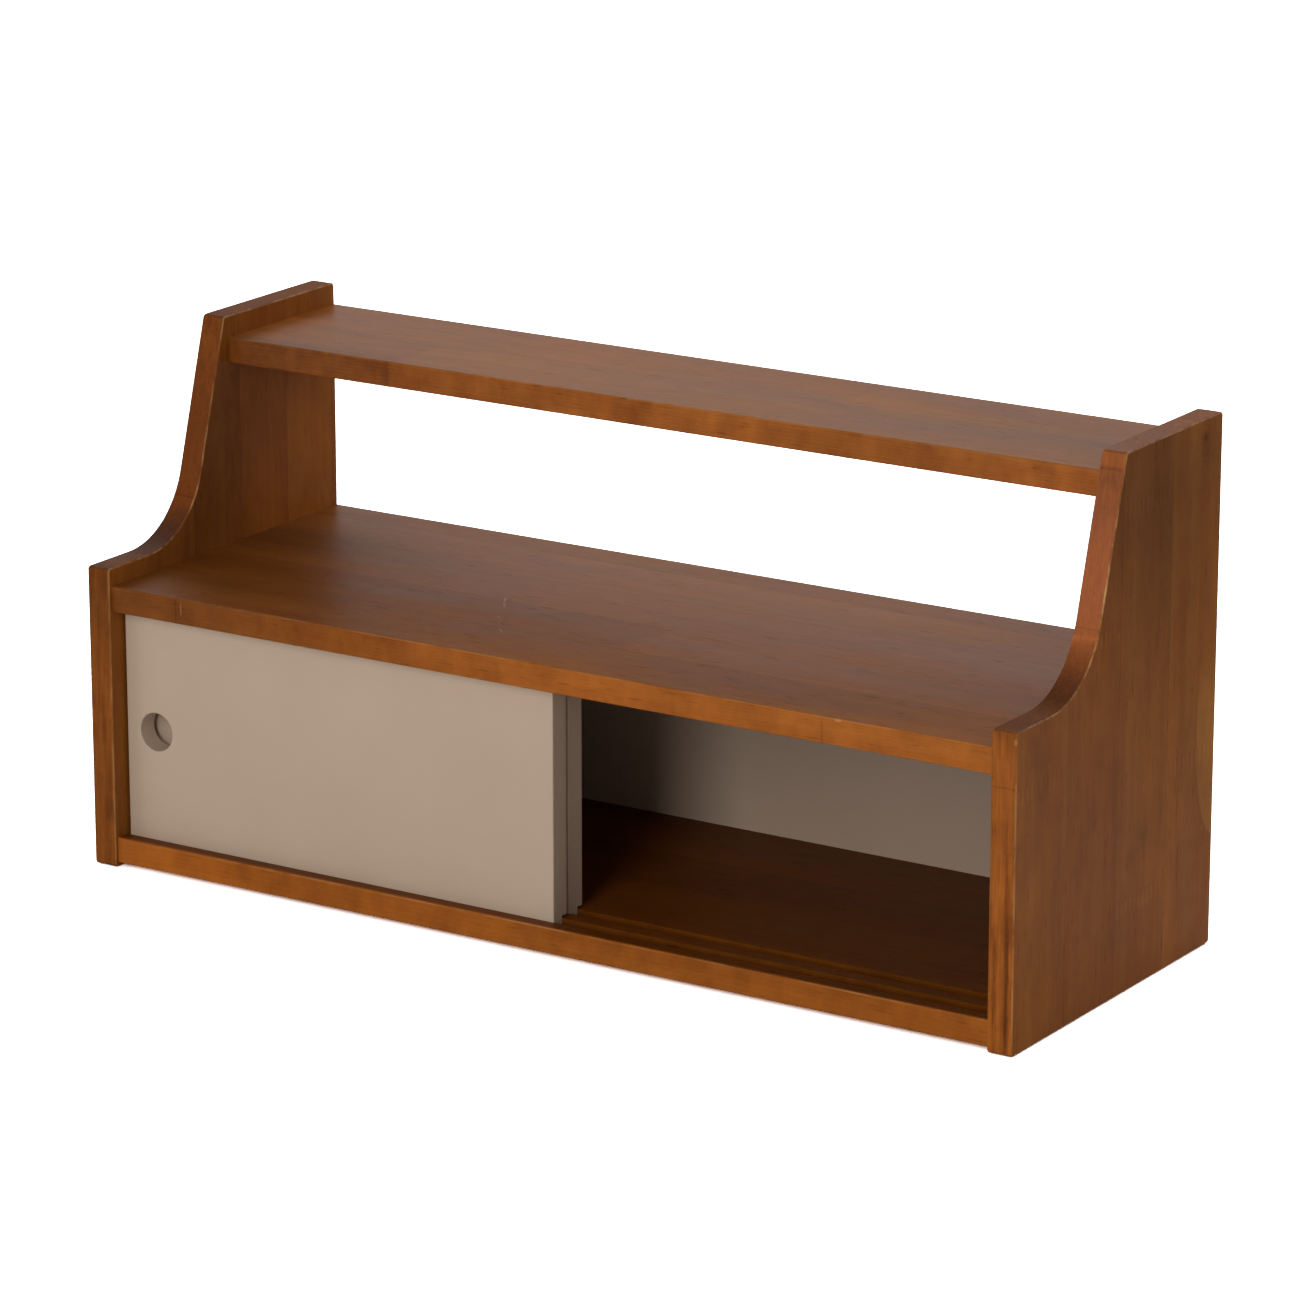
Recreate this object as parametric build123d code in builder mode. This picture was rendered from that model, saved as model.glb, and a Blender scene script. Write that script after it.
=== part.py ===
# Wall cabinet in stained pine: a closed lower bay with two painted doors that slide in grooves,
# and an open shelf bay above it between side boards that are cut back in a round throat.
# Millimetres. +X right, the doors face -Y, +Z up; the origin is under the middle, where it would stand.
import os

from build123d import *

os.makedirs("parts", exist_ok=True)

# Boards
cabinet_width = 800
cabinet_depth = 294
cabinet_height = 400
board = 20
arris = 1.5
corner_round = 3

# Outline of the side boards
step_lip = 14  # the deep lower part stands this far above the middle shelf
rake_foot = 102  # the raked edge, drawn on, would meet the step this far back
top_setback = 150  # front of the top edge, behind the lower front edge
throat_radius = 70
side_chamfer = 1  # all round both faces

# Shelves
reveal = 3  # the sides stand proud of the shelves by this much, in front and below
middle_shelf_top = 221
top_lip = 17  # the sides stand above the top shelf
top_shelf_inset = 6  # the top shelf starts behind the front of the sides' top edge

# Sliding doors and their grooves
door_thickness = 18
door_overlap = 14
door_round = 1
tongue_thickness = 11.2
track_clearance = 0.4  # beside a tongue, each side
track_lip = 12  # wood in front of the first groove
track_ridge = 11.5  # wood between the grooves
track_depth = 6  # grooves in the bottom shelf
tongue_grip = 6  # the upper tongue reaches this far into the middle shelf
lift_room = 7  # upward play that lets a door out of its lower groove
running_gap = 0.3
shoulder_gap = 2
stop_gap = 0.4  # a door's end to the side board at the end of its travel
front_door_pull = 2  # the front door stands open by this much
finger_radius = 15
finger_inset = 27
finger_height = 91  # above the door's lower edge
finger_chamfer = 0.7

# Back board, captured in grooves
back_thickness = 6
back_setback = 10
back_groove_depth = 6
back_clearance = 0.2

# Dowels
dowel_radius = 4
dowel_in_side = 11
dowel_in_shelf = 24
dowel_chamfer = 0.8
dowel_margin = 20  # first and last dowel to the nearest groove
top_dowel_inset = 30
bore_clearance = 0.1
bore_end_room = 0.5

# Cam bolts and cam locks
cam_setback = 34  # cam centre to the shelf's end
cam_radius = 7.5
cam_above_axis = 3.5
cam_recess = 0.3
cam_clearance = 0.15
chamber_length = 4.4
chamber_width = 8
neck_slot = 5
driver_length = 7
driver_width = 1.4
driver_depth = 2.5
bolt_thread_length = 11
bolt_radius = 3
bolt_neck_radius = 2
bolt_head_length = 3
bolt_room = 0.3

# Keyhole hangers in the rear edges of the sides
hanger_drop = 55  # middle of a plate below the top of the sides
plate_length = 62
plate_width = 15
plate_thickness = 2
plate_clearance = 0.2
entry_radius = 5
entry_drop = 8
keyhole_rise = 14
keyhole_slot = 4.8
head_room = 1  # round the wall screw's head, behind the plate
head_room_depth = 12
screw_offset = 24
screw_radius = 1.75
screw_head_radius = 3.5
screw_length = 16

# Planes and levels that follow from these
front = -cabinet_depth / 2
rear = cabinet_depth / 2
inner = cabinet_width / 2 - board
step_height = middle_shelf_top + step_lip
throat_corner = (front + rake_foot, step_height)

shelf_front = {
    "top_shelf": front + top_setback + top_shelf_inset,
    "middle_shelf": front + reveal,
    "bottom_shelf": front + reveal,
}
underside = {
    "top_shelf": cabinet_height - top_lip - board,
    "middle_shelf": middle_shelf_top - board,
    "bottom_shelf": reveal,
}
bay_floor = underside["bottom_shelf"] + board
bay_ceiling = underside["middle_shelf"]
bay_middle = (bay_floor + bay_ceiling) / 2

track_width = tongue_thickness + 2 * track_clearance
front_track = front + reveal + track_lip
rear_track = front_track + track_width + track_ridge
track_middles = [track + track_width / 2 for track in (front_track, rear_track)]
upper_track_depth = tongue_grip + lift_room

door_width = inner + door_overlap / 2
door_bottom = bay_floor - track_depth + running_gap
door_top = bay_ceiling + tongue_grip
lower_shoulder = bay_floor + shoulder_gap
upper_shoulder = bay_ceiling - lift_room - running_gap
left_stop = -inner + stop_gap

back_middle = rear - back_setback - back_thickness / 2
back_slot = back_thickness + 2 * back_clearance
back_reach = back_groove_depth - back_clearance

first_dowel = rear_track + track_width + dowel_margin
last_dowel = back_middle - back_slot / 2 - dowel_margin
dowel_rows = {
    "top_shelf": [shelf_front["top_shelf"] + top_dowel_inset, rear - top_dowel_inset],
    "middle_shelf": [first_dowel, last_dowel],
    "bottom_shelf": [first_dowel, last_dowel],
}
cam_rows = {shelf: [sum(rows) / len(rows)] for shelf, rows in dowel_rows.items()}
cam_height = board / 2 + cam_above_axis - cam_recess
cam_pocket_depth = cam_recess + cam_height + bore_end_room
bolt_shank_length = cam_setback - cam_radius - bolt_room
hanger_height = cabinet_height - hanger_drop
hands = {"left": -1, "right": 1}


def joint_points(rows, shelf):
    """Points (Y, Z) on a shelf's end, half way up the board."""
    return [(row, underside[shelf] + board / 2) for row in rows[shelf]]


def all_points(rows):
    return [point for shelf in rows for point in joint_points(rows, shelf)]


def few_flats(radius):
    """Round of a hidden bore or fitting, in ten flats."""
    return RegularPolygon(radius, 10)


def hanger_plane(hand):
    """Rear edge of a side board, seen from the wall, with local Y up."""
    middle = hand * (inner + board / 2)
    return Plane(origin=(middle, rear, hanger_height), x_dir=(-1, 0, 0), z_dir=(0, 1, 0))


def save(piece, name):
    piece.part.label = name
    export_step(piece.part, f"parts/{name}.step")


# Side boards
def side_panel(hand):
    inner_face = Plane.YZ.offset(hand * inner)
    rear_edge = hanger_plane(hand)
    with BuildPart() as panel:
        with BuildSketch(inner_face) as outline:
            with BuildLine():
                Polyline(
                    (front, 0),
                    (front, step_height),
                    throat_corner,
                    (front + top_setback, cabinet_height),
                    (rear, cabinet_height),
                    (rear, 0),
                    close=True,
                )
            make_face()
            fillet(outline.vertices().sort_by_distance(throat_corner)[1:], corner_round)
            fillet(outline.vertices().sort_by_distance(throat_corner)[0], throat_radius)
        extrude(amount=hand * board)
        chamfer(panel.faces().filter_by(Axis.X).edges(), side_chamfer)

        # groove for the back board, stopped behind the shelf ends
        with BuildSketch(inner_face):
            with Locations((back_middle, bay_middle)):
                Rectangle(back_slot, bay_ceiling - bay_floor + 2 * back_groove_depth)
        extrude(amount=hand * back_groove_depth, mode=Mode.SUBTRACT)

        # blind bores for the dowels and the cam bolts
        with BuildSketch(inner_face):
            with Locations(*all_points(dowel_rows)):
                few_flats(dowel_radius + bore_clearance)
        extrude(amount=hand * (dowel_in_side + bore_end_room), mode=Mode.SUBTRACT)
        with BuildSketch(inner_face):
            with Locations(*all_points(cam_rows)):
                few_flats(bolt_radius + bore_clearance)
        extrude(amount=hand * (bolt_thread_length + bore_end_room), mode=Mode.SUBTRACT)

        # seat of the hanger plate, room for the wall screw's head, and the plate's screw bores
        with BuildSketch(rear_edge):
            SlotOverall(plate_length + 2 * plate_clearance, plate_width + 2 * plate_clearance, rotation=90)
        extrude(amount=-plate_thickness, mode=Mode.SUBTRACT)
        with BuildSketch(rear_edge):
            with Locations((0, keyhole_rise / 2 - entry_drop)):
                SlotCenterToCenter(keyhole_rise, 2 * (entry_radius + head_room), rotation=90)
        extrude(amount=-head_room_depth, mode=Mode.SUBTRACT)
        with BuildSketch(rear_edge):
            with GridLocations(0, 2 * screw_offset, 1, 2):
                few_flats(screw_radius + bore_clearance)
        extrude(amount=-(screw_length + bore_end_room), mode=Mode.SUBTRACT)
    return panel


for side, hand in hands.items():
    save(side_panel(hand), f"{side}_side_panel")


# Shelves
def shelf_blank(shelf):
    """Rounded board between the sides, with the bores and cam pockets of its two ends."""
    with BuildPart() as blank:
        with BuildSketch(Plane.YZ.offset(-inner)):
            with Locations((shelf_front[shelf], underside[shelf])):
                Rectangle(rear - shelf_front[shelf], board, align=(Align.MIN, Align.MIN))
        extrude(amount=2 * inner)
        fillet(blank.edges().filter_by(Axis.X), arris)

        for hand in hands.values():
            end = Plane.YZ.offset(hand * inner)
            with BuildSketch(end):
                with Locations(*joint_points(dowel_rows, shelf)):
                    few_flats(dowel_radius + bore_clearance)
            extrude(amount=-hand * (dowel_in_shelf + bore_end_room), mode=Mode.SUBTRACT)
            with BuildSketch(end):
                with Locations(*joint_points(cam_rows, shelf)):
                    few_flats(bolt_radius + bolt_room)
            extrude(amount=-hand * cam_setback, mode=Mode.SUBTRACT)
            with BuildSketch(Plane.XY.offset(underside[shelf])):
                with Locations(*[(hand * (inner - cam_setback), row) for row in cam_rows[shelf]]):
                    Circle(cam_radius + cam_clearance)
            extrude(amount=cam_pocket_depth, mode=Mode.SUBTRACT)
    return blank


def grooved_shelf(shelf, level, inwards, track_cut):
    """Shelf with two door grooves and the back board's groove, cut along the face at the given level."""
    face = Plane.XY.offset(level)
    with BuildPart() as grooved:
        add(shelf_blank(shelf).part)
        with BuildSketch(face):
            with Locations(*[(0, middle) for middle in track_middles]):
                Rectangle(2 * inner, track_width)
        extrude(amount=inwards * track_cut, mode=Mode.SUBTRACT)
        with BuildSketch(face):
            with Locations((0, back_middle)):
                Rectangle(2 * inner, back_slot)
        extrude(amount=inwards * back_groove_depth, mode=Mode.SUBTRACT)
    return grooved


save(shelf_blank("top_shelf"), "top_shelf")
save(grooved_shelf("middle_shelf", bay_ceiling, 1, upper_track_depth), "middle_shelf")
save(grooved_shelf("bottom_shelf", bay_floor, -1, track_depth), "bottom_shelf")

# Back board, standing in the bottom shelf's groove
with BuildPart() as back_panel:
    with BuildSketch(Plane.XZ.offset(-back_middle)):
        with Locations((0, bay_floor - back_groove_depth)):
            Rectangle(
                2 * (inner + back_reach),
                bay_ceiling - bay_floor + back_groove_depth + back_reach,
                align=(Align.CENTER, Align.MIN),
            )
    extrude(amount=back_thickness / 2, both=True)
save(back_panel, "back_panel")


# Doors, with tongues left at the front by a rebate along the rear upper and lower edges
def door(track, left_end, finger_x):
    face = track + track_clearance
    tongue_back = face + tongue_thickness
    back = face + door_thickness
    with BuildPart() as leaf:
        with BuildSketch(Plane.YZ.offset(left_end)):
            with BuildLine():
                Polyline(
                    (face, door_bottom),
                    (face, door_top),
                    (tongue_back, door_top),
                    (tongue_back, upper_shoulder),
                    (back, upper_shoulder),
                    (back, lower_shoulder),
                    (tongue_back, lower_shoulder),
                    (tongue_back, door_bottom),
                    close=True,
                )
            make_face()
        extrude(amount=door_width)
        with Locations(Plane((finger_x, face, door_bottom + finger_height), z_dir=(0, -1, 0))):
            Hole(finger_radius)
        chamfer(leaf.edges().filter_by(GeomType.CIRCLE), finger_chamfer)
        broad_faces = leaf.faces().filter_by(Axis.Y).sort_by(Axis.Y)
        broad_edges = broad_faces[0].edges() + broad_faces[-1].edges()
        fillet(broad_edges.filter_by(GeomType.LINE), door_round)
    return leaf


front_door_left = left_stop + front_door_pull
save(door(front_track, front_door_left, front_door_left + finger_inset), "front_door")
save(door(rear_track, left_stop, left_stop + door_width - finger_inset), "rear_door")


# Joint hardware, one group for each shelf
def shelf_dowels(shelf):
    with BuildPart() as dowels:
        for hand in hands.values():
            with BuildSketch(Plane.YZ.offset(hand * (inner + dowel_in_side))):
                with Locations(*joint_points(dowel_rows, shelf)):
                    few_flats(dowel_radius)
            extrude(amount=-hand * (dowel_in_side + dowel_in_shelf))
        chamfer(dowels.faces().filter_by(Axis.X).edges(), dowel_chamfer)
    return dowels


def shelf_cam_bolts(shelf):
    """Bolts, from the side board through the shelf's end to a necked head in the cam."""
    neck_end = cam_setback - bolt_head_length / 2
    lengths = [
        (-bolt_thread_length, bolt_shank_length, bolt_radius),
        (bolt_shank_length, neck_end, bolt_neck_radius),
        (neck_end, neck_end + bolt_head_length, bolt_radius),
    ]
    with BuildPart() as bolts:
        for hand in hands.values():
            for begin, end, radius in lengths:
                with BuildSketch(Plane.YZ.offset(hand * (inner - begin))):
                    with Locations(*joint_points(cam_rows, shelf)):
                        few_flats(radius)
                extrude(amount=hand * (begin - end))
    return bolts


def shelf_cam_locks(shelf):
    """Cast cams: a chamber for the bolt's head, a slot for its neck and a cross for the driver."""
    faces = [
        Plane(
            origin=(hand * (inner - cam_setback), row, underside[shelf] + cam_recess),
            x_dir=(hand, 0, 0),
            z_dir=(0, 0, 1),
        )
        for hand in hands.values()
        for row in cam_rows[shelf]
    ]
    tops = [face.offset(cam_height) for face in faces]
    with BuildPart() as cams:
        with BuildSketch(*faces):
            Circle(cam_radius)
        extrude(amount=cam_height)
        with BuildSketch(*tops):
            Rectangle(chamber_length, chamber_width)
        extrude(amount=-(cam_above_axis + chamber_width / 2), mode=Mode.SUBTRACT)
        with BuildSketch(*tops):
            Rectangle(cam_radius + bolt_room, neck_slot, align=(Align.MIN, Align.CENTER))
        extrude(amount=-(cam_above_axis + neck_slot / 2), mode=Mode.SUBTRACT)
        with BuildSketch(*faces):
            Rectangle(driver_length, driver_width)
            Rectangle(driver_width, driver_length)
        extrude(amount=driver_depth, mode=Mode.SUBTRACT)
    return cams


for shelf in underside:
    save(shelf_dowels(shelf), f"{shelf}_dowels")
    save(shelf_cam_bolts(shelf), f"{shelf}_cam_bolts")
    save(shelf_cam_locks(shelf), f"{shelf}_cam_locks")


# Hangers
def hanger_plate(hand):
    rear_edge = hanger_plane(hand)
    with BuildPart() as plate:
        with BuildSketch(rear_edge):
            SlotOverall(plate_length, plate_width, rotation=90)
            with Locations((0, -entry_drop)):
                Circle(entry_radius, mode=Mode.SUBTRACT)
            with Locations((0, keyhole_rise / 2 - entry_drop)):
                SlotCenterToCenter(keyhole_rise, keyhole_slot, rotation=90, mode=Mode.SUBTRACT)
        extrude(amount=-plate_thickness)
        with Locations(rear_edge):
            with GridLocations(0, 2 * screw_offset, 1, 2):
                CounterSinkHole(
                    screw_radius + bore_clearance,
                    screw_head_radius + bore_clearance,
                    counter_sink_angle=90,
                )
    return plate


def hanger_screws(hand):
    rear_edge = hanger_plane(hand)
    head_height = screw_head_radius - screw_radius
    with BuildPart() as screws:
        with BuildSketch(rear_edge):
            with GridLocations(0, 2 * screw_offset, 1, 2):
                few_flats(screw_radius)
        extrude(amount=-screw_length)
        with Locations(rear_edge):
            with GridLocations(0, 2 * screw_offset, 1, 2):
                Cone(screw_radius, screw_head_radius, head_height, align=(Align.CENTER, Align.CENTER, Align.MAX))
    return screws


for side, hand in hands.items():
    save(hanger_plate(hand), f"{side}_hanger_plate")
    save(hanger_screws(hand), f"{side}_hanger_screws")
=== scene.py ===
import math

import bpy
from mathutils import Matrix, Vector


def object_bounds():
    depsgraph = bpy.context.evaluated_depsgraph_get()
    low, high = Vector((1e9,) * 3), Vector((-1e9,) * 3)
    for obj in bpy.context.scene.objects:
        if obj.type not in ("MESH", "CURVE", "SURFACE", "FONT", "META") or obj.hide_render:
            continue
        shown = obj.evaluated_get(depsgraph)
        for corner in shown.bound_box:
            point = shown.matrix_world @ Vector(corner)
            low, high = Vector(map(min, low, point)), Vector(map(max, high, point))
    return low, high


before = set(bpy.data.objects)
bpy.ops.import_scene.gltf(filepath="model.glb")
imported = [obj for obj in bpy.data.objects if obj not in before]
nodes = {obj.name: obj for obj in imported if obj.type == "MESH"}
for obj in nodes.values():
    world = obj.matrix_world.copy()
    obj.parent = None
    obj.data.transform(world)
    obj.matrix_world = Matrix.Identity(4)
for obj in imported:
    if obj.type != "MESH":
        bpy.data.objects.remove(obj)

cadLow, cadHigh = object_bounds()
print("frame loaded:", len(nodes), "nodes")


# Node helpers: a value given as a socket becomes a link, and any other is set on the node
def addNode(tree, kind, inputs=None, **settings):
    node = tree.nodes.new(kind)
    for key, value in settings.items():
        setattr(node, key, value)
    for key, value in (inputs or {}).items():
        if isinstance(value, bpy.types.NodeSocket):
            tree.links.new(value, node.inputs[key])
        else:
            node.inputs[key].default_value = value
    return node


def calc(tree, operation, first, second=0.0, third=0.0):
    inputs = {0: first, 1: second, 2: third}
    return addNode(tree, "ShaderNodeMath", inputs, operation=operation).outputs[0]


def addShare(tree, total, value, share):
    return calc(tree, "MULTIPLY_ADD", value, share, total)


def centred(tree, value):
    return calc(tree, "SUBTRACT", value, 0.5)


def smoothRange(tree, value, fromLow, fromHigh, toLow=0.0, toHigh=1.0):
    inputs = {"Value": value, "From Min": fromLow, "From Max": fromHigh, "To Min": toLow, "To Max": toHigh}
    node = addNode(tree, "ShaderNodeMapRange", inputs, interpolation_type="SMOOTHSTEP")
    return node.outputs["Result"]


def blend(tree, factor, first, second):
    return addNode(tree, "ShaderNodeMix", {0: factor, 6: first, 7: second}, data_type="RGBA").outputs[2]


def combine(tree, parts):
    return addNode(tree, "ShaderNodeCombineXYZ", dict(enumerate(parts))).outputs[0]


def scaleVector(tree, vector, scale):
    return addNode(tree, "ShaderNodeVectorMath", {0: vector, "Scale": scale}, operation="SCALE").outputs[0]


def drawNoise(tree, axes, noise, seed):
    # noise on the piece's own axes in millimetres, squeezed along each; the seed shifts it
    shift = seed * noise["drift"]
    parts = [calc(tree, "MULTIPLY_ADD", axis, scale, shift) for axis, scale in zip(axes, noise["scales"])]
    inputs = {"Vector": combine(tree, parts), "Scale": 1.0}
    inputs["Detail"] = noise["detail"]
    inputs["Roughness"] = noise["roughness"]
    return addNode(tree, "ShaderNodeTexNoise", inputs).outputs["Fac"]


def reach(tree, axes, middle, spread):
    # squared distance from a middle, which is 1 on the oval that the spread gives
    total = 0.0
    for axis, centre, size in zip(axes, middle, spread):
        off = calc(tree, "DIVIDE", calc(tree, "SUBTRACT", axis, centre), size)
        total = calc(tree, "MULTIPLY_ADD", off, off, total)
    return total


def scratch(tree, axes, start, end, width):
    # the same for a thin oval from one point to another
    run = Vector(end) - Vector(start)
    middle = (Vector(end) + Vector(start)) / 2.0
    first, second = [calc(tree, "SUBTRACT", axis, centre) for axis, centre in zip(axes, middle)]
    along = calc(tree, "MULTIPLY_ADD", first, run.x, calc(tree, "MULTIPLY", second, run.y))
    across = calc(tree, "MULTIPLY_ADD", first, -run.y, calc(tree, "MULTIPLY", second, run.x))
    return reach(tree, (along, across), (0.0, 0.0), (run.length_squared / 2.0, run.length * width))


def nearness(tree, axes, middle, spread):
    return calc(tree, "EXPONENT", calc(tree, "MULTIPLY", reach(tree, axes, middle, spread), -1.0))


def placed(tree, at, patches, where=1.0):
    # what a list of patches adds here; each has its middle, its spread and its change
    total = 0.0
    for middle, spread, change in patches:
        near = calc(tree, "MULTIPLY", nearness(tree, at["axes"], middle, spread), where)
        total = addShare(tree, total, near, change)
    return total


def newMaterial(name):
    material = bpy.data.materials.new(name)
    material.use_nodes = True
    return material, material.node_tree, material.node_tree.nodes["Principled BSDF"]


def addBump(tree, shader, bump, height):
    node = addNode(tree, "ShaderNodeBump", {**bump, "Height": height})
    tree.links.new(node.outputs["Normal"], shader.inputs["Normal"])


def readSurface(tree):
    # place in millimetres on the piece's own axes, and the way that the surface faces
    coordinates = addNode(tree, "ShaderNodeTexCoord").outputs
    scaled = scaleVector(tree, coordinates["Object"], 1000.0)
    place = addNode(tree, "ShaderNodeSeparateXYZ", {0: scaled}).outputs
    facing = addNode(tree, "ShaderNodeSeparateXYZ", {0: coordinates["Normal"]}).outputs
    return (place["X"], place["Y"], place["Z"]), facing


arrisLean = (0.22, 0.46)  # lean of the normal where an arris starts and where it is full


def arrisMask(tree, facing):
    # 1 where the normal leans halfway between a board's face and its edge, which is on the arris
    squared = calc(tree, "MULTIPLY", facing, facing)
    both = calc(tree, "MULTIPLY", squared, calc(tree, "SUBTRACT", 1.0, squared))
    return smoothRange(tree, calc(tree, "SQRT", calc(tree, "MAXIMUM", both, 0.0)), *arrisLean)


# Stained pine: edge-glued staves cut from trunks whose rings are worked out in space,
# so that faces, edges and end grain of a board agree
pine = {
    "dark": (0.190, 0.046, 0.004, 1.0),
    "red": (0.540, 0.152, 0.016, 1.0),
    "yellow": (0.480, 0.182, 0.028, 1.0),
    "sap": (0.590, 0.225, 0.032, 1.0),
    "rust": (0.545, 0.118, 0.020, 1.0),
    # pale colour of nicks, scratches and rubbed arrises; on the arrises it also stands for a painted
    # highlight
    "wornAndHighlit": (0.740, 0.380, 0.140, 1.0),
    "level": 0.56,  # 0 is all dark, 1 all red or yellow
    "trunkHue": 0.6,  # how far the hue differs from stave to stave
    "stripeHue": 1.2,
    "trunkTone": 0.10,
}

# Figure of the grain: noise scales along, across and through the board,
# and how much each figure changes the level on broad faces and on edges
figures = {
    "fibre": {
        "scales": (0.020, 0.80, 0.80),
        "detail": 5.0,
        "roughness": 0.68,
        "drift": 5.7,
        "shelf": (0.30, 0.15),
        "side": (0.45, 0.60),
    },
    "stripe": {
        "scales": (0.0016, 0.060, 0.060),
        "detail": 2.0,
        "roughness": 0.5,
        "drift": 8.3,
        "shelf": (0.16, 0.30),
        "side": (0.36, 0.36),
    },
    "curl": {
        "scales": (0.045, 0.060, 0.030),
        "detail": 4.0,
        "roughness": 0.6,
        "drift": 6.1,
        "shelf": (0.32, 0.95),
        "side": (0.38, 0.80),
    },
    "streak": {
        "scales": (0.022, 0.26, 0.26),
        "detail": 3.0,
        "roughness": 0.6,
        "drift": 9.7,
        "shelf": (0.12, 0.20),
        "side": (0.25, 1.50),
    },
    "cloud": {
        "scales": (0.006, 0.020, 0.020),
        "detail": 3.0,
        "roughness": 0.5,
        "drift": 2.3,
        "shelf": (0.75, 0.50),
        "side": (0.65, 0.40),
    },
}
pores = {"scales": (0.055, 0.60, 0.60), "detail": 2.0, "roughness": 0.5, "drift": 1.9, "open": (0.62, 0.74)}

# How a surface has to face to be off the broad faces, and to be end grain
turns = {"offFace": (0.85, 0.55), "onEnd": (0.38, 0.92)}


def readBoard(tree, axis):
    # the grain runs along the board's length; its faces, edges and ends differ in the way they face
    place, facing = readSurface(tree)
    along, through = ("X", "Z") if axis == "x" else ("Z", "X")
    onFace = calc(tree, "ABSOLUTE", facing[through])
    return {
        "place": place,
        "axes": place if axis == "x" else place[::-1],
        "onFace": onFace,
        "offFace": smoothRange(tree, onFace, *turns["offFace"]),
        "onEdge": calc(tree, "ABSOLUTE", facing["Y"]),
        "onEnd": smoothRange(tree, calc(tree, "ABSOLUTE", facing[along]), *turns["onEnd"]),
        "up": facing["Z"],
    }


# Glue lines between staves, and the fingers that join shorter lengths end to end. Sizes are in
# millimetres, and a pair runs from where a line starts to where it is full
seams = {
    "glueLine": (0.60, 0.15),
    "fingerPitch": 6.4,
    "fingerLength": 10.0,
    "fingerLine": (1.0, 0.25),
    "combDepth": (5.5, 4.0),
    "combTooth": (0.50, 0.85),  # share of a tooth, not millimetres
    "trunkStep": 7.31,  # sets the trunks of one board apart from those of the next
}


def layStaves(tree, at, board):
    # each stave has its own trunk, and its shorter lengths are finger-jointed end to end
    length, width = at["axes"][:2]
    staves = board["staves"]
    counted = calc(tree, "DIVIDE", calc(tree, "SUBTRACT", width, staves["joint"]), staves["width"])
    number = calc(tree, "FLOOR", counted)
    key = calc(tree, "ADD", number, board["seed"] * seams["trunkStep"])
    chance = addNode(tree, "ShaderNodeTexWhiteNoise", {"W": key}, noise_dimensions="1D").outputs["Color"]
    toGlue = calc(tree, "MULTIPLY", calc(tree, "PINGPONG", counted, 0.5), staves["width"])
    glue = smoothRange(tree, toGlue, *seams["glueLine"])

    half = seams["fingerPitch"] / 2.0
    tooth = calc(tree, "DIVIDE", calc(tree, "PINGPONG", width, half), half)
    past = addShare(tree, calc(tree, "SUBTRACT", length, staves["finger"]), number, -staves["fingerStep"])
    past = addShare(tree, past, centred(tree, tooth), seams["fingerLength"])
    cut = calc(tree, "DIVIDE", past, staves["length"])
    pieceKey = combine(tree, (number, calc(tree, "FLOOR", cut), board["seed"]))
    toFinger = calc(tree, "MULTIPLY", calc(tree, "PINGPONG", cut, 0.5), staves["length"])
    fingers = smoothRange(tree, toFinger, *seams["fingerLine"])
    comb = smoothRange(tree, toFinger, *seams["combDepth"])
    return {
        "across": calc(tree, "FRACT", counted),
        "chance": addNode(tree, "ShaderNodeSeparateColor", {0: chance}).outputs,
        "pieceChance": addNode(tree, "ShaderNodeTexWhiteNoise", {"Vector": pieceKey}).outputs["Value"],
        "glue": calc(tree, "MAXIMUM", glue, fingers),
        "comb": calc(tree, "MULTIPLY", comb, smoothRange(tree, tooth, *seams["combTooth"])),
    }


growth = {
    "ringSpacing": 2.7,
    "pithBelow": (25.0, 70.0),  # least depth under the board, and how much it varies
    "wander": {"scales": (0.0030, 0.012, 0.012), "detail": 2.0, "roughness": 0.5, "drift": 3.1},
    "wanderBy": 14.0,
    "lateStart": (0.30, 0.85),  # shares of a ring
    "lateEnd": (1.0, 0.90),
    "knotLength": 1.2,  # along the grain, for each millimetre across it
    "knotPush": 1.6,
}


def growRings(tree, at, staves, board):
    # growth rings round a pith line under the stave, pushed aside by knots
    chance = staves["chance"]
    aside = calc(tree, "SUBTRACT", staves["across"], chance["Green"])
    aside = calc(tree, "MULTIPLY", aside, board["staves"]["width"])
    least, varied = growth["pithBelow"]
    below = calc(tree, "ADD", at["axes"][2], calc(tree, "MULTIPLY_ADD", chance["Blue"], varied, least))
    radius = calc(tree, "MULTIPLY_ADD", aside, aside, calc(tree, "MULTIPLY", below, below))
    radius = calc(tree, "SQRT", radius)
    wander = drawNoise(tree, at["axes"], growth["wander"], board["seed"])
    radius = addShare(tree, radius, wander, growth["wanderBy"])
    knotArea = 0.0
    for middle, size in board["knots"]:
        near = nearness(tree, at["axes"], middle, (size * growth["knotLength"], size))
        radius = addShare(tree, radius, near, size * growth["knotPush"])
        knotArea = calc(tree, "MAXIMUM", near, knotArea)
    ring = calc(tree, "FRACT", calc(tree, "DIVIDE", radius, growth["ringSpacing"]))
    started = smoothRange(tree, ring, *growth["lateStart"])
    ended = smoothRange(tree, ring, *growth["lateEnd"])
    return {"latewood": calc(tree, "MULTIPLY", started, ended), "knotArea": knotArea}


def drawFigures(tree, at, board):
    drawn = {}
    for name, figure in figures.items():
        drawn[name] = drawNoise(tree, at["axes"], figure, board["seed"])
    drawn["pore"] = smoothRange(tree, drawNoise(tree, at["axes"], pores, board["seed"]), *pores["open"])
    return drawn


# What each mark in the wood adds to the level
marks = {"ring": -0.07, "knotRing": -0.35, "pore": -0.26, "glue": -0.26, "piece": 0.30}


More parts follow.
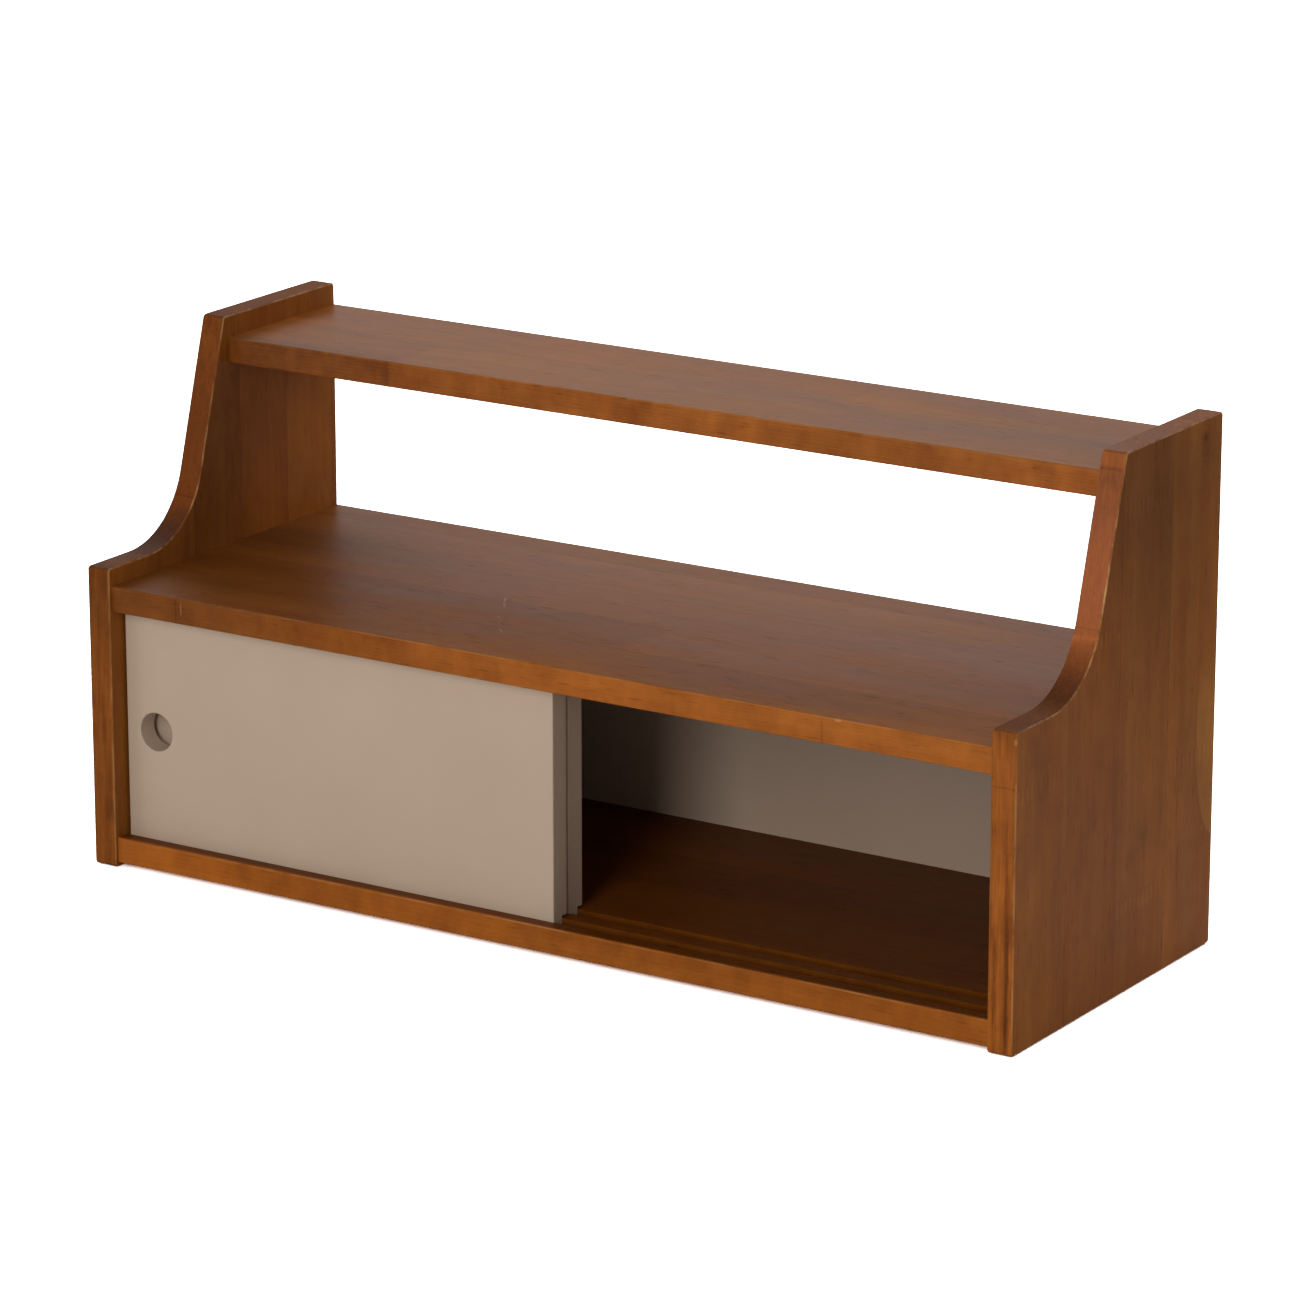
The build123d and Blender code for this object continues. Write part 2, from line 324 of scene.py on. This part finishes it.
def woodLevel(tree, at, board, staves, rings, drawn, raked):
    level = pine["level"]
    figured = calc(tree, "SUBTRACT", 1.0, raked)
    for name, figure in figures.items():
        onFace, onEdge = figure["shelf" if board["axis"] == "x" else "side"]
        share = calc(tree, "MULTIPLY_ADD", at["onEdge"], onEdge - onFace, onFace)
        share = calc(tree, "MULTIPLY", share, figured)
        level = addShare(tree, level, centred(tree, drawn[name]), share)
    ringDepth = calc(tree, "MULTIPLY_ADD", rings["knotArea"], marks["knotRing"], marks["ring"])
    level = addShare(tree, level, rings["latewood"], ringDepth)
    level = addShare(tree, level, drawn["pore"], marks["pore"])
    level = addShare(tree, level, staves["glue"], marks["glue"])
    level = addShare(tree, level, calc(tree, "MULTIPLY", staves["comb"], drawn["curl"]), board["comb"])
    return addShare(tree, level, centred(tree, staves["pieceChance"]), marks["piece"])


# Sapwood is sharp at its lower border and fades out above; 1 is the border of its oval
sapwood = {
    "inside": (1.04, 0.98),
    "line": (1.20, 1.04),
    "ragged": 0.2,
    "fadeAt": 0.65,  # share of the oval's length above its middle
    "share": 0.85,
    "level": 0.18,
    "lineLevel": -0.06,  # a little darker round it
}
knotHeart = (0.80, 0.98, 0.0, 0.7)  # nearness to a knot where its dark heart starts and is full, and how dark


def woodColour(tree, at, board, staves, rings, drawn):
    raked = placed(tree, at, board["raked"], at["offFace"])
    level = woodLevel(tree, at, board, staves, rings, drawn, raked)
    faceHue, edgeHue = board["hue"]
    hue = calc(tree, "MULTIPLY_ADD", at["onEdge"], edgeHue - faceHue, faceHue)
    hue = addShare(tree, hue, centred(tree, staves["chance"]["Blue"]), pine["trunkHue"])
    hue = addShare(tree, hue, centred(tree, drawn["stripe"]), pine["stripeHue"])
    light = blend(tree, raked, blend(tree, hue, pine["red"], pine["yellow"]), pine["rust"])
    for middle, spread in board["sapwood"]:
        border = reach(tree, at["axes"], middle, spread)
        border = addShare(tree, border, centred(tree, drawn["curl"]), sapwood["ragged"])
        fadeFrom = middle[0] + spread[0] * sapwood["fadeAt"]
        faded = smoothRange(tree, at["axes"][0], fadeFrom, middle[0])
        line = calc(tree, "MULTIPLY", faded, smoothRange(tree, border, *sapwood["line"]))
        sap = calc(tree, "MULTIPLY", faded, smoothRange(tree, border, *sapwood["inside"]))
        light = blend(tree, calc(tree, "MULTIPLY", sap, sapwood["share"]), light, pine["sap"])
        level = addShare(tree, level, line, sapwood["lineLevel"])
        level = addShare(tree, level, sap, sapwood["level"])
    level = calc(tree, "MINIMUM", calc(tree, "MAXIMUM", level, 0.0), 1.0)
    colour = blend(tree, level, pine["dark"], light)
    return blend(tree, smoothRange(tree, rings["knotArea"], *knotHeart), colour, pine["dark"])


# Wear and painted highlight: each range gives where a mark starts and is full, and how strong it is at both
wearAndHighlight = {
    "speckle": {"scales": (0.45, 0.45, 0.45), "detail": 3.0, "roughness": 0.6, "drift": 0.7},
    "drunk": (0.35, 0.65, 0.30, 0.80),
    "rubAndHighlight": {"scales": (0.016, 0.10, 0.10), "detail": 4.0, "roughness": 0.7, "drift": 4.4},
    "rubbedAndHighlit": (0.42, 0.62, 0.1, 1.0),
    "nick": (1.0, 0.16, 0.0, 0.42),
    "scratch": (1.0, 0.2, 0.0),  # each scratch has its own strength
}


def wearAndHighlightColour(tree, at, board, colour):
    # end grain drinks more stain; the arrises are rubbed thin and carry a painted highlight, with a few nicks
    # and scratches
    speckle = drawNoise(tree, at["axes"], wearAndHighlight["speckle"], board["seed"])
    drunk = calc(tree, "MULTIPLY", at["onEnd"], smoothRange(tree, speckle, *wearAndHighlight["drunk"]))
    colour = blend(tree, drunk, colour, pine["dark"])
    rubAndHighlight = drawNoise(tree, at["axes"], wearAndHighlight["rubAndHighlight"], board["seed"])
    rubbedAndHighlit = calc(tree, "ADD", board["rubbedAndHighlit"], placed(tree, at, board["moreRubbedAndHighlit"]))
    rubAndHighlight = calc(tree, "MULTIPLY", smoothRange(tree, rubAndHighlight, *wearAndHighlight["rubbedAndHighlit"]), rubbedAndHighlit)
    # paler arris lines: rubbed wear and a painted highlight
    wornAndHighlit = calc(tree, "MULTIPLY", arrisMask(tree, at["onFace"]), rubAndHighlight)
    for middle, spread in board["nicks"]:
        nick = reach(tree, at["place"], middle, spread)
        wornAndHighlit = calc(tree, "MAXIMUM", wornAndHighlit, smoothRange(tree, nick, *wearAndHighlight["nick"]))
    for start, end, width, strength in board["scratches"]:
        mark = scratch(tree, at["axes"], start, end, width)
        wornAndHighlit = calc(tree, "MAXIMUM", wornAndHighlit, smoothRange(tree, mark, *wearAndHighlight["scratch"], strength))
    return blend(tree, wornAndHighlit, colour, pine["wornAndHighlit"])


def toned(tree, strength, near, change):
    return calc(tree, "MULTIPLY", strength, calc(tree, "MULTIPLY_ADD", near, change, 1.0))


# where the inside darkening falls: a darker top face and painted shade in the recess and the door grooves
stainAndShadeWithin = {"facing": (-0.8, -0.4), "border": 3.0}  # all but the underside, with a soft border in millimetres


def stainStrength(tree, at, board, staves):
    # places where the stain took deeper or thinner, on the whole board or on its edges alone; some patches
    # and the inside darkening also hold painted shade
    trunk = centred(tree, staves["chance"]["Green"])
    strength = calc(tree, "MULTIPLY_ADD", trunk, pine["trunkTone"], board["tone"])
    for middle, spread, change in board["patches"]:
        strength = toned(tree, strength, nearness(tree, at["axes"], middle, spread), change)
    for middle, spread, change in board["edgePatches"]:
        near = calc(tree, "MULTIPLY", nearness(tree, at["axes"], middle, spread), at["offFace"])
        strength = toned(tree, strength, near, change)
    # inside the cabinet: a darker top face and painted shade in the recess and the door grooves
    for front, back, change in board["inside"]:
        width = at["axes"][1]
        border = stainAndShadeWithin["border"]
        near = smoothRange(tree, at["up"], *stainAndShadeWithin["facing"])
        near = calc(tree, "MULTIPLY", near, smoothRange(tree, width, front, front + border))
        near = calc(tree, "MULTIPLY", near, smoothRange(tree, width, back, back - border))
        strength = toned(tree, strength, near, change)
    return strength


# Satin lacquer that sinks into the pores and lies thicker in places: its roughness,
# what the wood under it adds to that, and how far the wood stands up through it
lacquer = {
    "ior": 1.5,
    "roughness": 0.40,
    "byFibre": 0.20,
    "byCloud": 0.25,
    "byPore": 0.12,
    "byEnd": 0.18,
    "ringHeight": 0.25,
    "poreHeight": -0.8,
    "bump": {"Strength": 0.22, "Distance": 0.00025},
}


def addLacquer(tree, shader, at, board, rings, drawn):
    shader.inputs["IOR"].default_value = lacquer["ior"]
    shader.inputs["Specular IOR Level"].default_value = board["sheen"]
    if board["edgeSheen"] or board["faceSheen"]:
        onFaces = placed(tree, at, board["faceSheen"], calc(tree, "SUBTRACT", 1.0, at["offFace"]))
        onEdges = placed(tree, at, board["edgeSheen"], at["offFace"])
        sheen = calc(tree, "ADD", calc(tree, "ADD", onFaces, onEdges), board["sheen"])
        tree.links.new(sheen, shader.inputs["Specular IOR Level"])
    rough = addShare(tree, lacquer["roughness"], centred(tree, drawn["fibre"]), lacquer["byFibre"])
    rough = addShare(tree, rough, centred(tree, drawn["cloud"]), lacquer["byCloud"])
    rough = addShare(tree, rough, drawn["pore"], lacquer["byPore"])
    rough = addShare(tree, rough, at["onEnd"], lacquer["byEnd"])
    tree.links.new(rough, shader.inputs["Roughness"])
    height = addShare(tree, drawn["fibre"], rings["latewood"], lacquer["ringHeight"])
    height = addShare(tree, height, drawn["pore"], lacquer["poreHeight"])
    addBump(tree, shader, lacquer["bump"], height)


def makePine(name, board):
    material, tree, shader = newMaterial(name)
    at = readBoard(tree, board["axis"])
    staves = layStaves(tree, at, board)
    rings = growRings(tree, at, staves, board)
    drawn = drawFigures(tree, at, board)
    colour = wearAndHighlightColour(tree, at, board, woodColour(tree, at, board, staves, rings, drawn))
    strength = stainStrength(tree, at, board, staves)
    tree.links.new(scaleVector(tree, colour, strength), shader.inputs["Base Color"])
    addLacquer(tree, shader, at, board, rings, drawn)
    return material


# Taupe paint rolled on fibreboard: it clouds, is stippled by the roller, and is rubbed paler on its arrises,
# which also stands for a painted highlight
paint = {
    "body": (0.535, 0.400, 0.295, 1.0),
    "thin": (0.515, 0.383, 0.281, 1.0),
    # edge: paler paint on the arrises, which is rubbed wear and a painted highlight
    "edge": (0.610, 0.470, 0.360, 1.0),
    "cloud": {"scales": (0.010, 0.010, 0.010), "detail": 3.0, "roughness": 0.5, "drift": 1.7},
    "clouded": (0.30, 0.70),
    "stipple": {"scales": (0.55, 0.55, 0.55), "detail": 3.0, "roughness": 0.6, "drift": 2.9},
    "rubAndHighlight": {"scales": (0.05, 0.05, 0.05), "detail": 3.0, "roughness": 0.6, "drift": 4.1},
    "rubbedAndHighlit": (0.35, 0.65, 0.15, 0.8),
    "roughness": 0.40,
    "byStipple": 0.16,
    "ior": 1.46,
    "bump": {"Strength": 0.12, "Distance": 0.0002},
}


def makePaint(name, seed):
    material, tree, shader = newMaterial(name)
    axes, facing = readSurface(tree)
    cloud = smoothRange(tree, drawNoise(tree, axes, paint["cloud"], seed), *paint["clouded"])
    stipple = drawNoise(tree, axes, paint["stipple"], seed)
    # paler arris line: rubbed paint and a painted highlight
    rubAndHighlight = smoothRange(tree, drawNoise(tree, axes, paint["rubAndHighlight"], seed), *paint["rubbedAndHighlit"])
    rubAndHighlight = calc(tree, "MULTIPLY", arrisMask(tree, facing["Y"]), rubAndHighlight)
    colour = blend(tree, cloud, paint["thin"], paint["body"])
    tree.links.new(blend(tree, rubAndHighlight, colour, paint["edge"]), shader.inputs["Base Color"])
    rough = addShare(tree, paint["roughness"], stipple, paint["byStipple"])
    tree.links.new(rough, shader.inputs["Roughness"])
    shader.inputs["IOR"].default_value = paint["ior"]
    addBump(tree, shader, paint["bump"], stipple)
    return material


# Metals of the fittings: their two colours, and the brushing along each axis
plainMetal = {
    "brushed": {"detail": 4.0, "roughness": 0.65, "drift": 3.3},
    "byBrushing": 0.30,
    "cloud": {"scales": (0.09, 0.09, 0.09), "detail": 3.0, "roughness": 0.5, "drift": 1.1},
    "clouded": (0.25, 0.75),
    "bump": {"Strength": 0.25, "Distance": 0.0001},
}
metals = {
    "cast_zinc": {
        "dark": (0.30, 0.30, 0.31, 1.0),
        "light": (0.46, 0.46, 0.47, 1.0),
        "brushing": (1.2, 1.2, 1.2),
        "roughness": 0.48,
        "seed": 1.0,
    },
    "plated_steel": {
        "dark": (0.50, 0.49, 0.46, 1.0),
        "light": (0.66, 0.65, 0.62, 1.0),
        "brushing": (2.0, 2.0, 0.15),
        "roughness": 0.34,
        "seed": 2.0,
    },
}


def makeMetal(name):
    metal = {**plainMetal, **metals[name]}
    material, tree, shader = newMaterial(name)
    axes = readSurface(tree)[0]
    brushed = drawNoise(tree, axes, {**metal["brushed"], "scales": metal["brushing"]}, metal["seed"])
    cloud = smoothRange(tree, drawNoise(tree, axes, metal["cloud"], metal["seed"]), *metal["clouded"])
    tree.links.new(blend(tree, cloud, metal["dark"], metal["light"]), shader.inputs["Base Color"])
    shader.inputs["Metallic"].default_value = 1.0
    rough = addShare(tree, metal["roughness"], centred(tree, brushed), metal["byBrushing"])
    tree.links.new(rough, shader.inputs["Roughness"])
    addBump(tree, shader, metal["bump"], brushed)
    return material


# Beech of the dowels, with its short dark flecks
beech = {
    "early": (0.46, 0.27, 0.13, 1.0),
    "late": (0.66, 0.45, 0.26, 1.0),
    "fleck": (0.36, 0.19, 0.08, 1.0),
    "fibre": {"scales": (0.05, 1.1, 1.1), "detail": 4.0, "roughness": 0.6, "drift": 1.0},
    "flecks": {"scales": (0.30, 2.2, 2.2), "detail": 2.0, "roughness": 0.5, "drift": 2.0},
    "flecked": (0.58, 0.70, 0.0, 0.45),
    "roughness": 0.5,
    "byFibre": 0.2,
    "bump": {"Strength": 0.2, "Distance": 0.0002},
    "seed": 1.0,
}


def makeBeech():
    material, tree, shader = newMaterial("beech")
    axes = readSurface(tree)[0]
    fibre = drawNoise(tree, axes, beech["fibre"], beech["seed"])
    flecks = smoothRange(tree, drawNoise(tree, axes, beech["flecks"], beech["seed"]), *beech["flecked"])
    colour = blend(tree, fibre, beech["early"], beech["late"])
    tree.links.new(blend(tree, flecks, colour, beech["fleck"]), shader.inputs["Base Color"])
    rough = addShare(tree, beech["roughness"], fibre, beech["byFibre"])
    tree.links.new(rough, shader.inputs["Roughness"])
    addBump(tree, shader, beech["bump"], fibre)
    return material


def dress(name, material):
    nodes[name].data.materials.clear()
    nodes[name].data.materials.append(material)


# Boards: the grain runs along X in the shelves and up the sides. Places are in millimetres along the grain,
# from front to back and, where there is a third number, through the board. A patch has its middle,
# its spread and its change
plainBoard = {
    "axis": "x",
    "hue": (0.4, 0.0),  # from red to yellow, on the faces and on the edges
    "sheen": 0.2,
    "edgeSheen": [],
    "faceSheen": [],
    "rubbedAndHighlit": 0.14,  # how far the arrises are rubbed to pale wood, with a painted highlight on them
    "moreRubbedAndHighlit": [],  # patches where they are rubbed further, with more painted highlight
    "raked": [],  # patches of edge that took the stain redder and more evenly
    "comb": 0.0,  # how light the fingers of the joints show
    "knots": [],  # middle and size
    "sapwood": [],  # middle and spread
    "patches": [],
    "edgePatches": [],
    "inside": [],  # front, back, and the change of tone of all but the underside between them; darker stain with painted shade inside the cabinet
    "nicks": [],  # middle and spread on X, Y and Z
    "scratches": [],  # start, end, width and strength
}
boards = {
    "top_shelf": {
        "seed": 1.0,
        "tone": 0.90,
        "sheen": 0.25,
        "staves": {"width": 69.0, "joint": 78.0, "length": 563.0, "finger": 120.0, "fingerStep": -215.0},
        "patches": [((-370.0, 9.0), (150.0, 14.0), -0.30), ((330.0, 100.0), (200.0, 100.0), -0.26)],
        "edgePatches": [((60.0, 9.0), (600.0, 12.0), 0.25), ((370.0, 9.0), (90.0, 12.0), 0.26)],
    },
    "middle_shelf": {
        "seed": 2.0,
        "tone": 0.80,
        "hue": (0.25, -0.1),
        "faceSheen": [((0.0, -147.0), (1000.0, 90.0), -0.06), ((-355.0, -30.0), (120.0, 130.0), -0.13)],
        "rubbedAndHighlit": 0.20,
        "staves": {"width": 65.0, "joint": -80.0, "length": 563.0, "finger": 33.0, "fingerStep": -215.0},
        "patches": [
            ((-375.0, -90.0), (190.0, 110.0), -0.45),
            ((-375.0, 45.0), (170.0, 60.0), -0.50),
            ((100.0, 50.0), (330.0, 60.0), -0.13),
            ((350.0, -40.0), (110.0, 50.0), -0.14),
            ((320.0, 105.0), (80.0, 40.0), -0.20),
        ],
        "edgePatches": [
            ((60.0, -144.0), (420.0, 20.0), 0.17),
            ((100.0, -144.0), (60.0, 20.0), 0.10),
            ((-375.0, -144.0), (190.0, 20.0), -0.14),
        ],
        "nicks": [
            ((-315.0, -144.0, 213.0), (0.9, 3.0, 7.0)),
            ((256.0, -144.0, 220.0), (4.0, 2.0, 1.6)),
        ],
        "scratches": [
            ((-114.0, -9.0), (-107.0, -21.0), 1.3, 0.55),
            ((-108.5, -20.0), (-99.0, -32.0), 1.2, 0.45),
            ((-90.0, -54.0), (-86.0, -59.0), 1.6, 0.35),
            ((-81.5, -66.5), (-78.5, -70.5), 1.4, 0.30),
            ((-71.5, -80.5), (-61.0, -91.0), 1.0, 0.35),
            ((205.0, 16.0), (245.0, 22.0), 3.0, 0.10),
        ],
    },
    "bottom_shelf": {
        "seed": 3.0,
        "tone": 0.82,
        "hue": (0.1, 0.2),
        "sheen": 0.05,
        "edgeSheen": [((0.0, -147.0), (1000.0, 7.0), 0.14)],
        # paler front arris: rubbed wear and a painted highlight along it
        "rubbedAndHighlit": 0.38,
        "staves": {"width": 65.0, "joint": -80.0, "length": 1300.0, "finger": 300.0, "fingerStep": -215.0},
        "edgePatches": [((-330.0, -144.0), (90.0, 20.0), 0.20)],
        # darker top inside the cabinet, with painted shade in the recess and the door grooves
        "inside": [(-143.0, 144.0, -0.58)],
    },
    "left_side_panel": {
        "axis": "z",
        "seed": 4.0,
        "tone": 0.64,
        "hue": (0.3, -0.3),
        "sheen": 0.15,
        "edgeSheen": [((402.0, 75.0), (8.0, 110.0), -0.04), ((226.0, -125.0), (10.0, 40.0), -0.05)],
        "rubbedAndHighlit": 0.55,
        "moreRubbedAndHighlit": [((270.0, -40.0, -380.5), (55.0, 60.0, 3.0), 0.55)],
        "raked": [((310.0, -30.0), (100.0, 70.0), 0.70)],
        "staves": {"width": 60.0, "joint": 21.0, "length": 563.0, "finger": 200.0, "fingerStep": -215.0},
        "patches": [((285.0, 110.0), (130.0, 75.0), 0.50)],
        "edgePatches": [
            ((320.0, -20.0), (60.0, 40.0), -0.15),
            ((243.0, -70.0), (22.0, 35.0), -0.54),
            ((220.0, -147.0), (50.0, 12.0), -0.34),
            ((100.0, -147.0), (120.0, 12.0), -0.12),
        ],
    },
    "right_side_panel": {
        "axis": "z",
        "seed": 5.0,
        "tone": 0.83,
        "hue": (0.65, -0.15),
        "edgeSheen": [((325.0, -18.0), (80.0, 45.0), 0.30), ((402.0, 75.0), (8.0, 110.0), 0.10)],
        "rubbedAndHighlit": 0.40,
        "moreRubbedAndHighlit": [((315.0, -25.0, 399.5), (65.0, 60.0, 3.0), 0.70)],
        "raked": [((315.0, -25.0), (95.0, 65.0), 0.70)],
        "comb": 0.45,
        "staves": {"width": 73.5, "joint": 73.0, "length": 293.0, "finger": 152.0, "fingerStep": 85.0},
        "knots": [((386.0, 121.0), 9.0)],
        "sapwood": [((175.0, 150.0), (92.0, 32.0))],
        "patches": [
            ((60.0, 0.0), (160.0, 400.0), 0.06),
            # darker towards the top of the outer face: painted shade
            ((365.0, 60.0), (90.0, 130.0), -0.34),
            ((60.0, 135.0), (70.0, 40.0), -0.14),
            ((180.0, 105.0), (85.0, 45.0), -0.16),
            ((374.0, 122.0), (5.0, 9.0), -0.16),
            ((368.0, 128.0), (25.0, 25.0), -0.10),
            ((280.0, 53.0), (40.0, 35.0), -0.12),
            ((112.0, 39.0), (11.0, 9.0), -0.22),
            ((101.0, 21.0), (7.0, 6.0), -0.18),
        ],
        "edgePatches": [
            ((325.0, -18.0), (60.0, 40.0), 0.56),
            ((50.0, -147.0, 394.5), (75.0, 30.0, 1.8), -0.55),
            ((30.0, -147.0), (60.0, 12.0), 0.08),
            ((190.0, -147.0), (70.0, 12.0), -0.08),
            ((243.0, -70.0), (20.0, 32.0), -0.51),
            ((235.0, -130.0), (10.0, 25.0), -0.30),
            ((400.0, 75.0), (12.0, 120.0), 0.40),
        ],
        "nicks": [((399.0, -147.0, 228.0), (1.5, 2.0, 3.0))],
    },
}
for name, board in boards.items():
    dress(name, makePine(name + "_pine", {**plainBoard, **board}))
print("boards stained:", len(boards))

for seed, name in enumerate(("back_panel", "front_door", "rear_door"), 1):
    dress(name, makePaint(name + "_paint", float(seed)))
print("doors and back painted")

plated = makeMetal("plated_steel")
hardware = {"dowels": makeBeech(), "cam_bolts": plated, "cam_locks": makeMetal("cast_zinc")}
for shelf in ("top_shelf", "middle_shelf", "bottom_shelf"):
    for kind, material in hardware.items():
        dress(f"{shelf}_{kind}", material)
for side in ("left", "right"):
    dress(side + "_hanger_plate", plated)
    dress(side + "_hanger_screws", plated)
print("hardware dressed")

# Pale floor that reads as the white ground of a studio photograph
floor = {
    "size": 12.0,
    "drop": 0.0006,
    "seen": (4.2, 4.2, 4.2, 1.0),
    "bounce": (0.85, 0.85, 0.85, 1.0),
    "mirrored": (0.20, 0.20, 0.20, 1.0),
    "mirroredBeside": (0.52, 0.52, 0.52, 1.0),
    "besideFrom": (-300.0, 200.0),  # millimetres from front to back
    "besideTo": (900.0, 300.0),
    "roughness": 0.9,
}


def makeFloor():
    half = floor["size"] / 2
    level = cadLow.z - floor["drop"]
    corners = [(x, y, level) for x, y in ((-half, -half), (half, -half), (half, half), (-half, half))]
    mesh = bpy.data.meshes.new("floor")
    mesh.from_pydata(corners, [], [(0, 1, 2, 3)])
    ground = bpy.data.objects.new("floor", mesh)
    bpy.context.scene.collection.objects.link(ground)
    material, tree, shader = newMaterial("floor_white")
    rays = addNode(tree, "ShaderNodeLightPath").outputs
    depth = readSurface(tree)[0][1]
    beside = smoothRange(tree, depth, *floor["besideFrom"])
    beside = calc(tree, "MULTIPLY", beside, smoothRange(tree, depth, *floor["besideTo"]))
    mirrored = blend(tree, beside, floor["mirrored"], floor["mirroredBeside"])
    bounce = blend(tree, rays["Is Glossy Ray"], floor["bounce"], mirrored)
    tree.links.new(blend(tree, rays["Is Camera Ray"], bounce, floor["seen"]), shader.inputs["Base Color"])
    shader.inputs["Roughness"].default_value = floor["roughness"]
    shader.inputs["Specular IOR Level"].default_value = 0.0
    mesh.materials.append(material)


makeFloor()
print("floor laid")

# Studio: a dim room, brighter behind the cabinet and white as a ground. The brighter part is set by
# how far back and how high a direction points
surround = {
    "room": 0.26,
    "behind": 1.30,
    "back": (-0.1, 0.5),
    "rise": (0.14, 0.62),
    "fall": (0.95, 0.65),
    "camera": 1.0,
}


def makeSurround():
    world = bpy.data.worlds.new("studio")
    bpy.context.scene.world = world
    world.use_nodes = True
    tree = world.node_tree
    direction = addNode(tree, "ShaderNodeTexCoord").outputs["Generated"]
    heading = addNode(tree, "ShaderNodeSeparateXYZ", {0: direction}).outputs
    behind = smoothRange(tree, heading["Y"], *surround["back"])
    for edge in ("rise", "fall"):
        behind = calc(tree, "MULTIPLY", behind, smoothRange(tree, heading["Z"], *surround[edge]))
    strength = calc(tree, "MULTIPLY_ADD", behind, surround["behind"], surround["room"])
    seen = addNode(tree, "ShaderNodeLightPath").outputs["Is Camera Ray"]
    strength = calc(tree, "MAXIMUM", strength, calc(tree, "MULTIPLY", seen, surround["camera"]))
    background = tree.nodes["Background"]
    background.inputs["Color"].default_value = (1.0, 1.0, 1.0, 1.0)
    tree.links.new(strength, background.inputs["Strength"])


makeSurround()

softboxes = {
    "front_softbox": {"place": (0.49, -2.80, 1.20), "size": (1.0, 2.1), "power": 36.0, "mirrored": True},
    "left_fill": {"place": (-2.60, -1.90, 0.60), "size": (1.4, 1.2), "power": 13.0, "mirrored": False},
}
aim = Vector((0.0, 0.0, 0.2))  # middle of the cabinet


def addSoftbox(name, softbox):
    light = bpy.data.lights.new(name, "AREA")
    light.shape = "RECTANGLE"
    light.size, light.size_y = softbox["size"]
    light.energy = softbox["power"]
    lamp = bpy.data.objects.new(name, light)
    bpy.context.scene.collection.objects.link(lamp)
    lamp.location = softbox["place"]
    lamp.rotation_euler = (aim - lamp.location).to_track_quat("-Z", "Y").to_euler()
    lamp.visible_glossy = softbox["mirrored"]


for name, softbox in softboxes.items():
    addSoftbox(name, softbox)
print("studio lit")

# Camera of the photograph: a long lens from the front right, a little above
view = {
    "place": (2.2611, -3.5015, 1.3997),
    "yaw": 32.758,
    "pitch": 16.110,  # degrees below level
    "lens": 162.80,
    "sensor": 36.0,
    "farthest": 50.0,
}


def addCamera():
    lens = bpy.data.cameras.new("camera")
    lens.lens = view["lens"]
    lens.sensor_width = view["sensor"]
    lens.clip_end = view["farthest"]
    camera = bpy.data.objects.new("camera", lens)
    bpy.context.scene.collection.objects.link(camera)
    camera.location = view["place"]
    camera.rotation_euler = (math.radians(90.0 - view["pitch"]), 0.0, math.radians(view["yaw"]))
    bpy.context.scene.camera = camera
    bpy.context.scene.view_settings.view_transform = "Standard"


addCamera()
print("camera placed")
